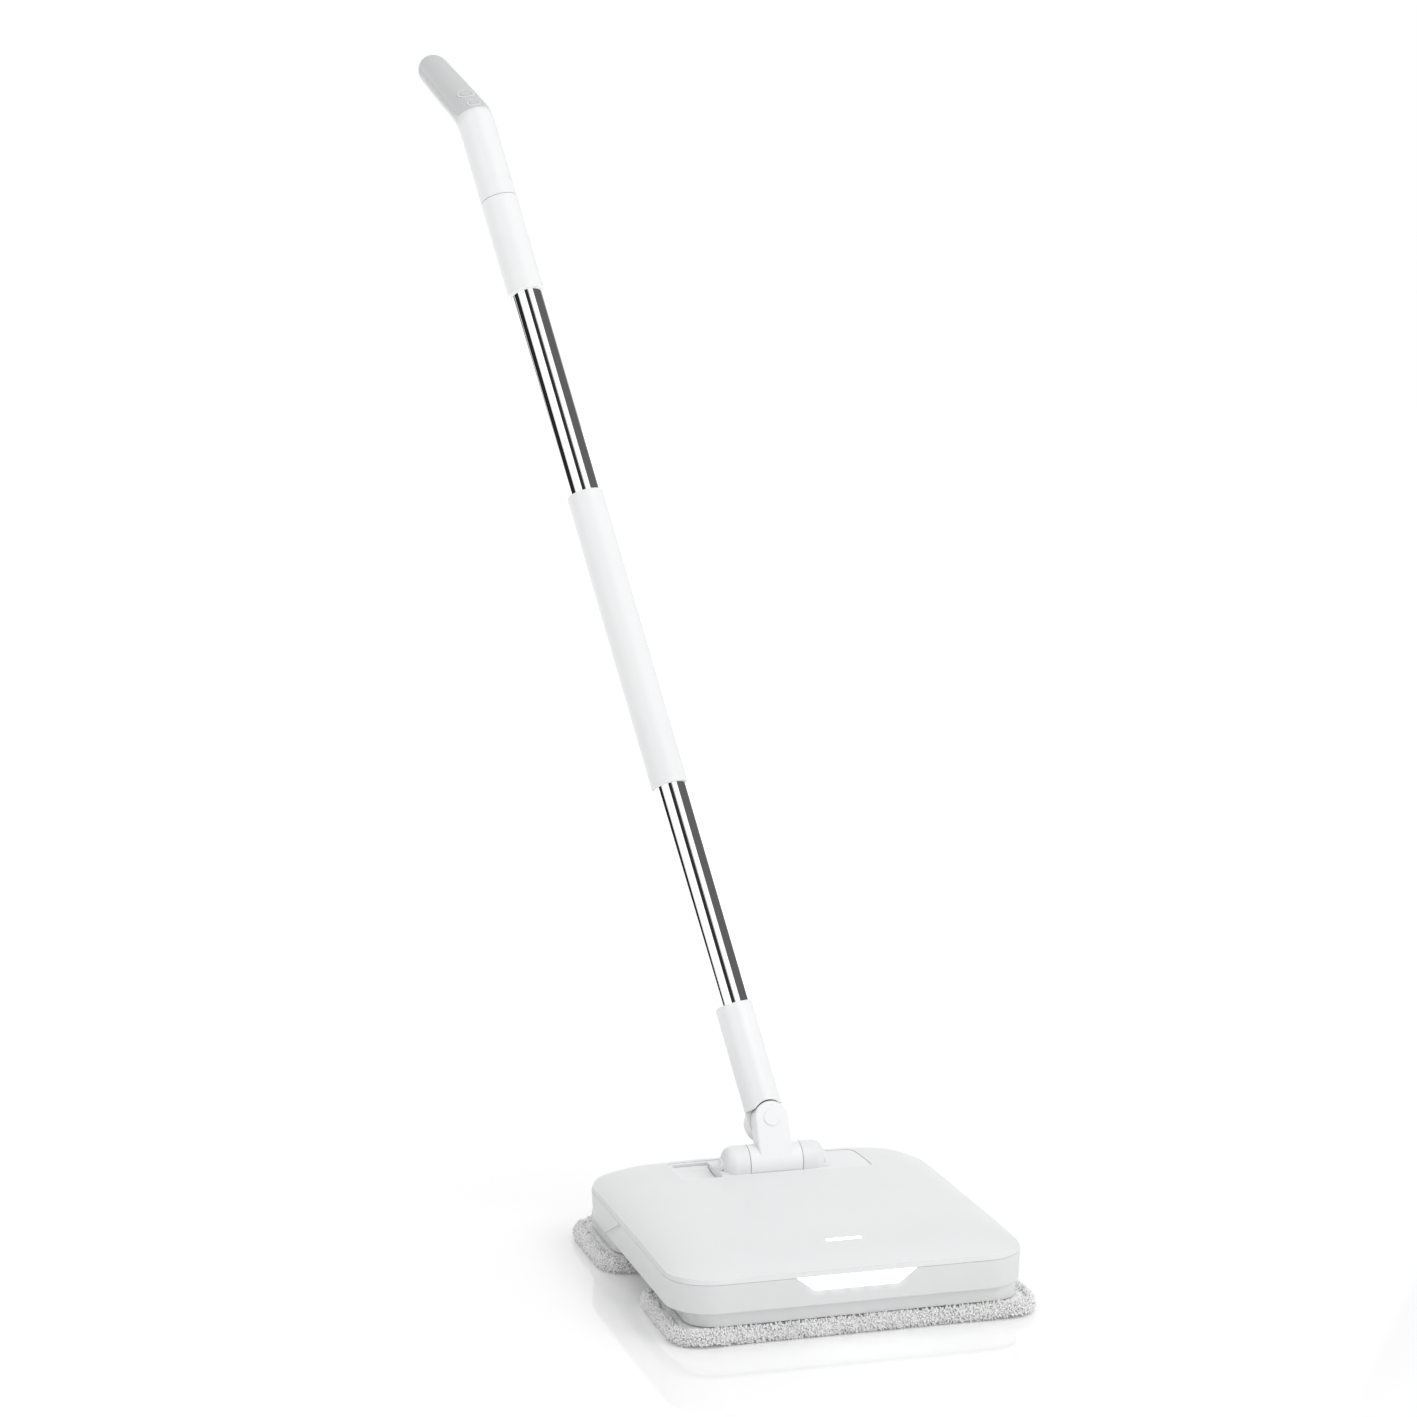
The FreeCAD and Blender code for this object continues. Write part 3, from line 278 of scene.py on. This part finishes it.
def metal(name, colour, roughness, scratch=0.02, along=None):
    """Metal with drawn or handled marks in its polish."""
    material, tree, shader = new_material(name)
    place = object_place(tree)
    if along is not None:
        stretch = tree.nodes.new("ShaderNodeMapping")
        tree.links.new(place, stretch.inputs["Vector"])
        stretch.inputs["Rotation"].default_value = along
        stretch.inputs["Scale"].default_value = (1.0, 1.0, 0.04)
        place = stretch.outputs["Vector"]
    shader.inputs["Metallic"].default_value = 1.0
    marks = noise_value(tree, place, 260.0, 4.0, 0.65)
    tint = mix_colours(tree, marks, shade(colour, 0.97), shade(colour, 1.02))
    tree.links.new(tint, shader.inputs["Base Color"])
    low, high = max(0.0, roughness - scratch), roughness + scratch
    tree.links.new(remap(tree, marks, 0.3, 0.7, low, high), shader.inputs["Roughness"])
    return material


def handle_shell_painted_shade():
    """Handle shell: casing white along the pole, blending round the bend into the grip's grey, which is
    painted shade.
    """
    material, tree, shader, tint = plastic("handle_shell_plastic", WHITE, 0.38)
    along = vector_dot(tree, object_place(tree), GRIP_AXIS)
    from_bend = math_node(tree, "SUBTRACT", along, BEND_POINT.dot(GRIP_AXIS))
    # painted shade: this mask turns the white shell grey beyond the bend, where the grip faces away from the
    # light
    grey = remap(tree, from_bend, -16 * MM, 14 * MM, 0.0, 1.0, smooth=True)
    tree.links.new(mix_colours(tree, grey, tint, GRIP_PAINTED_SHADE), shader.inputs["Base Color"])
    return material


def key_centre(node):
    """Middle of a button's face, on its press axis."""
    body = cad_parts[node]
    normal = GRIP_AXIS.cross(POLE_SIDE)
    if normal.z < 0:
        normal.negate()
    corners = [body.matrix_world @ vertex.co for vertex in body.data.vertices]
    top = max(corner.dot(normal) for corner in corners)
    face = [corner for corner in corners if corner.dot(normal) > top - KEY_FACE_DEPTH]
    centre = top * normal
    for axis in (POLE_SIDE, GRIP_AXIS):
        reach = [corner.dot(axis) for corner in face]
        centre += 0.5 * (min(reach) + max(reach)) * axis
    return centre


def key_plastic(node):
    """Grey button, its grey painted shade like the grip's, with a painted highlight ring at its rim."""
    material, tree, shader, tint = plastic(f"{node}_grey", shade(GRIP_PAINTED_SHADE, 1.03), 0.45)
    centre = key_centre(node)
    place = object_place(tree)
    across = math_node(tree, "SUBTRACT", vector_dot(tree, place, POLE_SIDE), centre.dot(POLE_SIDE))
    along = math_node(tree, "SUBTRACT", vector_dot(tree, place, GRIP_AXIS), centre.dot(GRIP_AXIS))
    squares = [math_node(tree, "MULTIPLY", value, value) for value in (across, along)]
    out = math_node(tree, "SQRT", math_node(tree, "ADD", *squares))
    radius = KEY_RADII[node]
    rim = remap(tree, out, radius - KEY_HIGHLIGHT_RING, radius - 0.6 * KEY_HIGHLIGHT_RING, 0.0, 1.0, smooth=True)
    # painted highlight: a lighter ring at the button's rim, where its edge catches the light
    light = shade(GRIP_PAINTED_SHADE, 1.32)
    tree.links.new(mix_colours(tree, rim, tint, light), shader.inputs["Base Color"])
    return material


def board_material():
    """Green solder mask over faint copper tracks."""
    material, tree, shader, _ = plastic("circuit_board", (0.02, 0.16, 0.07, 1.0), 0.35)
    place = object_place(tree)
    tracks = tree.nodes.new("ShaderNodeTexBrick")
    tree.links.new(place, tracks.inputs["Vector"])
    tracks.inputs["Scale"].default_value = 160.0
    tracks.inputs["Color1"].default_value = (0.02, 0.16, 0.07, 1.0)
    tracks.inputs["Color2"].default_value = (0.03, 0.19, 0.09, 1.0)
    tracks.inputs["Mortar"].default_value = (0.10, 0.30, 0.14, 1.0)
    tree.links.new(tracks.outputs["Color"], shader.inputs["Base Color"])
    return material


def fabric(name, colour, weave, depth, sheen):
    """Textile: yarn-sized changes of tone, a matt surface and sheen."""
    material, tree, shader = new_material(name)
    place = object_place(tree)
    yarn = noise_value(tree, place, weave, 3.0, 0.6)
    cloud = noise_value(tree, place, 30.0, 3.0)
    yarn_part = math_node(tree, "MULTIPLY", yarn, 0.7)
    cloud_part = math_node(tree, "MULTIPLY", cloud, 0.3)
    tone = remap(tree, math_node(tree, "ADD", yarn_part, cloud_part), 0.36, 0.64, 0.0, 1.0)
    tint = mix_colours(tree, tone, shade(colour, 0.90), shade(colour, 1.06))
    tree.links.new(tint, shader.inputs["Base Color"])
    tree.links.new(remap(tree, yarn, 0.3, 0.7, 0.82, 1.0), shader.inputs["Roughness"])
    shader.inputs["Sheen Weight"].default_value = sheen
    shader.inputs["Sheen Roughness"].default_value = 0.5
    bump(tree, shader, yarn, depth)
    return material


def led_places():
    """X of each light emitter, from the ends of their row."""
    first = LED_LO.x + LED_HALF
    step = (LED_HI.x - LED_LO.x - 2 * LED_HALF) / (LED_COUNT - 1)
    return [first + index * step for index in range(LED_COUNT)]


def paint_nodes():
    """Gives every CAD node its finish."""
    tube_turn = (-LEAN_BACK, LEAN_SIDE, 0.0)
    casing = simple_plastic("casing_white", WHITE, 0.40)
    # painted light: the seat and the joint parts are the casing's white made lighter, as they stand brighter
    # in the light
    seat = simple_plastic("seat_painted_light_white", shade(WHITE, 1.04), 0.36)
    joint = simple_plastic("joint_painted_light_white", shade(WHITE, 1.10), 0.3, coat=0.15)
    sleeve = simple_plastic("sleeve_white", WHITE, 0.42)
    # the grip's grey is painted shade; its roughness and grain are the plastic's own
    grip = simple_plastic("grip_painted_shade", GRIP_PAINTED_SHADE, 0.55, grain=900.0, grain_depth=0.00004)
    chrome = metal("chrome_tube_polish", (0.95, 0.95, 0.955, 1.0), 0.03, 0.02, tube_turn)
    steel = metal("machined_steel", (0.60, 0.60, 0.62, 1.0), 0.28, 0.08)
    light = simple_plastic("carrier_grey", (0.80, 0.805, 0.81, 1.0), 0.42)
    dark = simple_plastic("dark_plastic", (0.05, 0.05, 0.055, 1.0), 0.45)
    acetal = simple_plastic("acetal", (0.74, 0.73, 0.69, 1.0), 0.35)
    cell = simple_plastic("cell_wrap", (0.03, 0.12, 0.32, 1.0), 0.3)
    cable = simple_plastic("cable_jacket", (0.02, 0.02, 0.022, 1.0), 0.5)
    hook = fabric("hook_tape", (0.62, 0.62, 0.60, 1.0), 900.0, 0.0004, 0.2)
    board = board_material()
    finishes = {
        skirt_plastic(): ["lower_shell"],
        casing: ["top_cover"],
        seat: ["joint_cradle", "release_latch"],
        lens_plastic(): ["front_lens"],
        lamp("status_diffuser", 1.6): ["status_light"],
        lamp("emitter", 3.0): ["headlight_leds"],
        joint: ["trunnion_tee", "knuckle_cap", "ear_caps", "neck"],
        sleeve: ["mid_sleeve", "handle_sleeve"],
        handle_shell_painted_shade(): ["handle_shell"],
        grip: ["grip_cover"],
        key_plastic("power_button"): ["power_button"],
        key_plastic("mode_button"): ["mode_button"],
        chrome: ["lower_tube", "upper_tube"],
        steel: ["case_screws", "cradle_screws", "latch_pin", "drive_motor", "motor_bracket", "rocker_pivot",
                "rocker_pins", "trunnion_shaft", "knuckle_pin", "knuckle_washer"],
        light: ["front_carrier", "rear_carrier", "sleeve_liner"],
        dark: ["battery_case", "charge_socket", "button_switches"],
        acetal: ["ear_bushes", "board_posts", "rocker_beam", "eccentric_cam", "front_guides", "rear_guides"],
        cell: ["battery_cells"],
        cable: ["head_harness", "pole_harness"],
        hook: ["front_hook_strips", "rear_hook_strips"],
        board: ["main_board", "headlight_board", "handle_board"],
    }
    for material, names in finishes.items():
        for name in names:
            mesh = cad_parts[name].data
            mesh.materials.clear()
            mesh.materials.append(material)


# ---------------------------------------------------------------- pads
def rim_distance(x, y, low, high):
    """How far a point is inside the pad's rounded outline, in plan."""
    half_x = (high.x - low.x) / 2 - PAD_CORNER
    half_y = (high.y - low.y) / 2 - PAD_CORNER
    dx = abs(x - (low.x + high.x) / 2) - half_x
    dy = abs(y - (low.y + high.y) / 2) - half_y
    outside = math.hypot(max(dx, 0.0), max(dy, 0.0))
    return PAD_CORNER - outside - min(max(dx, dy), 0.0)


def outline(low, high, inset):
    """Points round the pad's outline, moved in by inset."""
    radius = max(PAD_CORNER - inset, 2 * MM)
    points = []
    corners = ((high.x, high.y, 0), (low.x, high.y, 1), (low.x, low.y, 2), (high.x, low.y, 3))
    steps = 9
    for x, y, turn in corners:
        centre_x = x - math.copysign(inset + radius, x - (low.x + high.x) / 2)
        centre_y = y - math.copysign(inset + radius, y - (low.y + high.y) / 2)
        for step in range(steps + 1):
            angle = math.radians(90 * (turn + step / steps))
            points.append((centre_x + radius * math.cos(angle), centre_y + radius * math.sin(angle)))
    return points


def pad_blank(name, low, high):
    """Closed blank of the pad, slightly smaller than its final shape."""
    top = high.z - 0.6 * MM
    profile = [(7.0 * MM, PAD_LIFT), (2.6 * MM, 2.6 * MM), (1.6 * MM, 6.0 * MM), (2.0 * MM, 9.6 * MM),
               (4.6 * MM, top - 0.8 * MM), (8.0 * MM, top)]
    mesh = bmesh.new()
    rings = [[mesh.verts.new((x, y, z)) for x, y in outline(low, high, inset)] for inset, z in profile]
    for lower, upper in zip(rings, rings[1:]):
        count = len(lower)
        for index in range(count):
            after = (index + 1) % count
            mesh.faces.new((lower[index], lower[after], upper[after], upper[index]))
    mesh.faces.new(list(reversed(rings[0])))
    mesh.faces.new(rings[-1])
    data = bpy.data.meshes.new(name)
    mesh.to_mesh(data)
    mesh.free()
    piece = bpy.data.objects.new(name, data)
    bpy.context.scene.collection.objects.link(piece)
    return piece


def apply_modifiers(piece):
    """Bakes the piece's modifiers into its mesh."""
    graph = bpy.context.evaluated_depsgraph_get()
    data = bpy.data.meshes.new_from_object(piece.evaluated_get(graph))
    piece.modifiers.clear()
    piece.data = data


def puff(pieces):
    """Inflates the pads by cloth simulation, all in one run, holding every point near where it began."""
    for piece in pieces:
        remesh = piece.modifiers.new("remesh", "REMESH")
        remesh.mode = "VOXEL"
        remesh.voxel_size = VOXEL
        apply_modifiers(piece)
    before = {piece.name: [vertex.co.copy() for vertex in piece.data.vertices] for piece in pieces}
    for piece in pieces:
        cloth = piece.modifiers.new("cloth", "CLOTH")
        cloth.settings.use_pressure = True
        cloth.settings.uniform_pressure_force = 4.0
        cloth.settings.mass = 0.25
        cloth.settings.tension_stiffness = 20.0
        cloth.settings.bending_stiffness = 2.0
        cloth.settings.effector_weights.gravity = 0.0
        cloth.collision_settings.use_collision = False
    scene = bpy.context.scene
    for step in range(1, SIMULATION_STEPS + 1):
        scene.frame_set(step)
    for piece in pieces:
        apply_modifiers(piece)
        for vertex, start in zip(piece.data.vertices, before[piece.name]):
            move = vertex.co - start
            if move.length > PUFF_CAP:
                vertex.co = start + move.normalized() * PUFF_CAP
    scene.frame_set(1)


def settle(piece, low, high):
    """Finishes a pad's shape: flat above and below, with a groove inside its rolled rim."""
    subdivide = piece.modifiers.new("subdivide", "SUBSURF")
    subdivide.levels = 1
    subdivide.render_levels = 1
    apply_modifiers(piece)
    middle_z = (low.z + high.z) / 2
    for vertex in piece.data.vertices:
        x, y, z = vertex.co
        inside = rim_distance(x, y, low, high)
        lump = noise.noise(Vector((x, y, z)) * 140.0) * 0.5 * MM
        if z > middle_z:
            groove = math.exp(-((inside - PAD_ROLL) / PAD_GROOVE_WIDTH) ** 2)
            flat = min(1.0, max(0.0, (inside - PAD_ROLL) / (4 * MM)))
            z = min(z + lump * (1 - flat), high.z - 0.3 * MM)
            z -= PAD_GROOVE_DEPTH * groove
        elif inside > 6 * MM:
            z = PAD_LIFT + abs(lump)
        vertex.co = (x, y, max(z, PAD_LIFT))
    for face in piece.data.polygons:
        face.use_smooth = True


def surface_samples(piece, count, keep, draw):
    """Random points with normals, spread evenly by area over the faces that keep accepts."""
    piece.data.calc_loop_triangles()
    corners, areas = [], []
    for triangle in piece.data.loop_triangles:
        if keep(triangle):
            corners.append([piece.data.vertices[i].co[:] for i in triangle.vertices])
            areas.append(triangle.area)
    corners = np.array(corners)
    weights = np.array(areas) / sum(areas)
    chosen = corners[draw.choice(len(corners), count, p=weights)]
    first, second = draw.random_sample((2, count, 1))
    flip = first + second > 1
    first, second = np.where(flip, 1 - first, first), np.where(flip, 1 - second, second)
    side_a, side_b = chosen[:, 1] - chosen[:, 0], chosen[:, 2] - chosen[:, 0]
    points = chosen[:, 0] + first * side_a + second * side_b
    normals = np.cross(side_a, side_b)
    return points, normals / np.linalg.norm(normals, axis=1, keepdims=True)


def tufts(name, points, normals, lengths, lean, draw, floor):
    """A mesh of short bent yarn ends, one on each point."""
    count = len(points)
    spin = draw.normal(size=(count, 3))
    sideways = np.cross(normals, spin)
    sideways /= np.linalg.norm(sideways, axis=1, keepdims=True)
    across = np.cross(normals, sideways)
    levels = ((0.0, 1.0), (0.45, 1.12), (0.85, 0.85))
    corners = 4
    rings = []
    for height, width in levels:
        centre = points + normals * (lengths * height) + sideways * (lengths * lean * height ** 2)
        for corner in range(corners):
            angle = 2 * math.pi * corner / corners
            arm = sideways * math.cos(angle) + across * math.sin(angle)
            rings.append(centre + arm * (TUFT_RADIUS * width))
    tips = points + normals * lengths + sideways * lengths * lean
    vertices = np.stack(rings + [tips], axis=1)
    vertices[:, :, 2] = np.maximum(vertices[:, :, 2], floor)
    per_tuft = vertices.shape[1]
    pattern = []
    for level in range(len(levels) - 1):
        for corner in range(corners):
            here, after = corner, (corner + 1) % corners
            low, high = level * corners, (level + 1) * corners
            pattern.append((low + here, low + after, high + after, high + here))
    top = (len(levels) - 1) * corners
    caps = [(top + corner, top + (corner + 1) % corners, per_tuft - 1) for corner in range(corners)]
    faces = []
    for index in range(count):
        base = index * per_tuft
        faces.extend([tuple(base + corner for corner in face) for face in pattern + caps])
    data = bpy.data.meshes.new(name)
    data.from_pydata(vertices.reshape(-1, 3).tolist(), [], faces)
    data.update()
    for face in data.polygons:
        face.use_smooth = True
    piece = bpy.data.objects.new(name, data)
    bpy.context.scene.collection.objects.link(piece)
    return piece


def pile(label, backing, low, high, seed):
    """Deep pile of a pad: long tufts over the rolled rim and short flattened ones on the sole."""
    draw = np.random.RandomState(seed)
    middle_z = (low.z + high.z) / 2

    def on_rim(triangle):
        x, y, z = triangle.center
        return triangle.normal.z > -0.6 and rim_distance(x, y, low, high) < PAD_ROLL + 3.5 * MM

    def on_sole(triangle):
        return triangle.normal.z < -0.6 and triangle.center[2] < middle_z

    points, normals = surface_samples(backing, RIM_TUFTS, on_rim, draw)
    lengths = draw.uniform(*TUFT_LENGTH, (RIM_TUFTS, 1))
    inside = np.array([rim_distance(x, y, low, high) for x, y, _ in points])[:, None]
    lengths = np.where(inside > PAD_ROLL - 2 * MM, 0.45 * lengths, lengths)
    rim = tufts(f"{label}_pile", points - normals * TUFT_ROOT, normals, lengths,
                draw.uniform(0.1, 0.75, (RIM_TUFTS, 1)), draw, low.z + 0.05 * MM)
    points, normals = surface_samples(backing, SOLE_TUFTS, on_sole, draw)
    sole = tufts(f"{label}_sole_pile", points - normals * TUFT_ROOT, normals,
                 draw.uniform(*SOLE_TUFT_LENGTH, (SOLE_TUFTS, 1)),
                 draw.uniform(0.5, 1.2, (SOLE_TUFTS, 1)), draw, low.z + 0.05 * MM)
    return rim, sole


def make_pads():
    yarn = fabric("chenille_yarn", (0.96, 0.96, 0.955, 1.0), 420.0, 0.0003, 0.8)
    backing_cloth = fabric("chenille_backing", (0.88, 0.88, 0.875, 1.0), 420.0, 0.0006, 0.5)
    pads = []
    for label in ("front", "rear"):
        low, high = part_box(f"{label}_pad")
        pads.append((label, pad_blank(f"{label}_pad_cloth", low, high), low, high))
    puff([backing for _, backing, _, _ in pads])
    for seed, (label, backing, low, high) in enumerate(pads, 11):
        settle(backing, low, high)
        backing.data.materials.append(backing_cloth)
        rim, sole = pile(label, backing, low, high, seed)
        for piece in (backing, rim, sole):
            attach(piece, f"{label}_slider")
        for piece in (rim, sole):
            piece.data.materials.append(yarn)
        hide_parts(f"{label}_pad")


# ---------------------------------------------------------------- studio
def make_floor():
    size = 14.0
    bpy.ops.mesh.primitive_plane_add(size=size, location=(0, 2.0, -0.0002))
    floor = bpy.context.object
    floor.name = "studio_floor"
    material, tree, shader = new_material("floor_gloss")
    cloud = noise_value(tree, object_place(tree), 0.8, 1.0)
    tint = mix_colours(tree, cloud, (0.93, 0.93, 0.93, 1.0), (0.95, 0.95, 0.95, 1.0))
    tree.links.new(tint, shader.inputs["Base Color"])
    shader.inputs["Roughness"].default_value = 0.05
    shader.inputs["IOR"].default_value = 1.75
    shader.inputs["Emission Color"].default_value = (1.0, 1.0, 1.0, 1.0)
    away = distance_to(tree, object_place(tree), (0.0, -2.0, 0.0))
    tree.links.new(remap(tree, away, 0.35, 1.5, 0.06, 0.8, smooth=True), shader.inputs["Emission Strength"])
    floor.data.materials.append(material)


STUDIO_BANDS = [
    # angle round the pole in degrees, 0 towards the camera, and the brightness up to the next band
    (-180, 0.95), (-150, 0.05), (-103, 0.75), (-96, 0.02), (-58, 0.9), (-50, 1.25), (-4, 0.03),
    (20, 0.55), (27, 1.25), (61, 0.12), (140, 0.28), (160, 0.95),
]


def make_world():
    """White backdrop, soft even light, and for reflections bright panels and dark flags round the pole."""
    world = bpy.data.worlds.new("studio")
    bpy.context.scene.world = world
    world.use_nodes = True
    tree = world.node_tree
    tree.nodes.clear()
    direction = tree.nodes.new("ShaderNodeTexCoord").outputs["Generated"]
    heading = Vector((math.sin(-CAMERA_HEADING), math.cos(CAMERA_HEADING), 0.0))
    away = (heading - POLE_AXIS * heading.dot(POLE_AXIS)).normalized()
    side = away.cross(POLE_AXIS)
    turn = math_node(tree, "ARCTAN2", vector_dot(tree, direction, side), vector_dot(tree, direction, -away))
    ramp = tree.nodes.new("ShaderNodeValToRGB")
    ramp.color_ramp.interpolation = "CONSTANT"
    tree.links.new(remap(tree, turn, -math.pi, math.pi, 0.0, 1.0), ramp.inputs["Fac"])
    elements = ramp.color_ramp.elements
    for index, (angle, value) in enumerate(STUDIO_BANDS):
        element = elements[0] if index == 0 else elements.new((angle + 180) / 360)
        element.position = (angle + 180) / 360
        element.color = (value, value, value, 1.0)
    elements.remove(elements[-1])      # the ramp's own last stop
    up = vector_dot(tree, direction, (0.60, -0.12, 0.79))
    soft = remap(tree, up, -0.6, 1.0, 0.60, 1.06)
    rays = tree.nodes.new("ShaderNodeLightPath")

    def background(colour):
        node = tree.nodes.new("ShaderNodeBackground")
        feed(tree, node.inputs["Color"], colour)
        return node.outputs[0]

    def choose(factor, first, second):
        node = tree.nodes.new("ShaderNodeMixShader")
        tree.links.new(factor, node.inputs[0])
        tree.links.new(first, node.inputs[1])
        tree.links.new(second, node.inputs[2])
        return node.outputs[0]

    light = background(soft)
    glossy = choose(rays.outputs["Is Glossy Ray"], light, background(ramp.outputs["Color"]))
    seen = choose(rays.outputs["Is Camera Ray"], glossy, background((1.0, 1.0, 1.0, 1.0)))
    output = tree.nodes.new("ShaderNodeOutputWorld")
    tree.links.new(seen, output.inputs["Surface"])


def area_light(name, place, target, size, power):
    data = bpy.data.lights.new(name, "AREA")
    data.shape = "RECTANGLE"
    data.size, data.size_y = size
    data.energy = power
    light = bpy.data.objects.new(name, data)
    bpy.context.scene.collection.objects.link(light)
    light.location = place
    light.rotation_euler = (Vector(target) - Vector(place)).to_track_quat("-Z", "Y").to_euler()
    light.visible_glossy = False


def make_camera():
    data = bpy.data.cameras.new("camera")
    data.lens = FOCAL_LENGTH
    data.sensor_width = SENSOR_WIDTH
    camera = bpy.data.objects.new("camera", data)
    camera.location = CAMERA_PLACE
    camera.rotation_euler = Euler((CAMERA_PITCH, 0.0, CAMERA_HEADING))
    bpy.context.scene.collection.objects.link(camera)
    bpy.context.scene.camera = camera


make_camera()
paint_nodes()
make_pads()
make_floor()
make_world()
area_light("key", KEY_LIGHT_PLACE, KEY_LIGHT_TARGET, KEY_LIGHT_SIZE, KEY_LIGHT_WATTS)
bpy.context.scene.view_settings.view_transform = "Standard"
